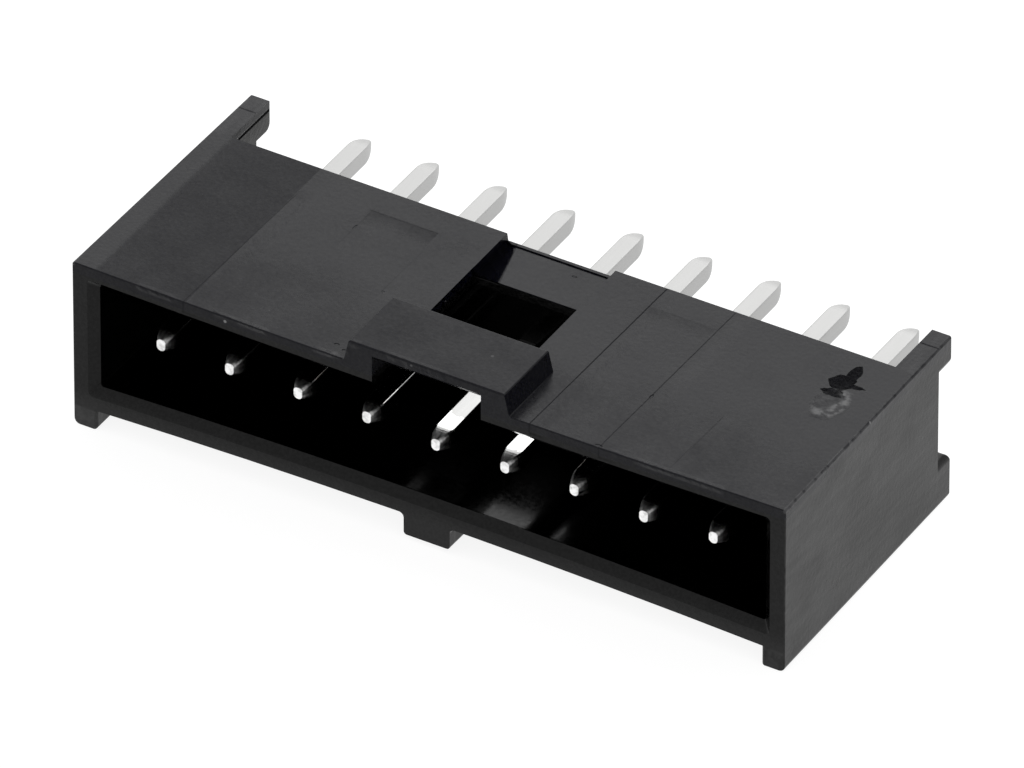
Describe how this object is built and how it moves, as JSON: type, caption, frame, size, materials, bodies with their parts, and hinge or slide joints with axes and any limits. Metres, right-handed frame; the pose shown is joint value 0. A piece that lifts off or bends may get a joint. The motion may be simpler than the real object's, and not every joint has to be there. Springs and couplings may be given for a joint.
{
  "type": "pin header",
  "caption": "Shrouded straight pin header with a single row of square pins and a bridge over its latch slot.",
  "frame": {"origin": "middle of the pin row in the plane that the circuit board's surface takes", "axes": "X along the pin row, +Y along the pins from the mouth to the solder tails, +Z out of the wall with the latch bridge; as drawn the header lies on its end ribs on a plane at Z -3.79 mm"},
  "size_m": [0.0262, 0.0135, 0.007],
  "materials": {
    "moulded_plastic": "black moulded thermoplastic, satin, with faint mould seams",
    "tin_plating": "bright tin plating over copper alloy"
  },
  "bodies": {
    "root": {"housing": "moulded_plastic", "pin_1": "tin_plating", "pin_2": "tin_plating", "pin_3": "tin_plating", "pin_4": "tin_plating", "pin_5": "tin_plating", "pin_6": "tin_plating", "pin_7": "tin_plating", "pin_8": "tin_plating", "pin_9": "tin_plating"}
  },
  "joints": []
}
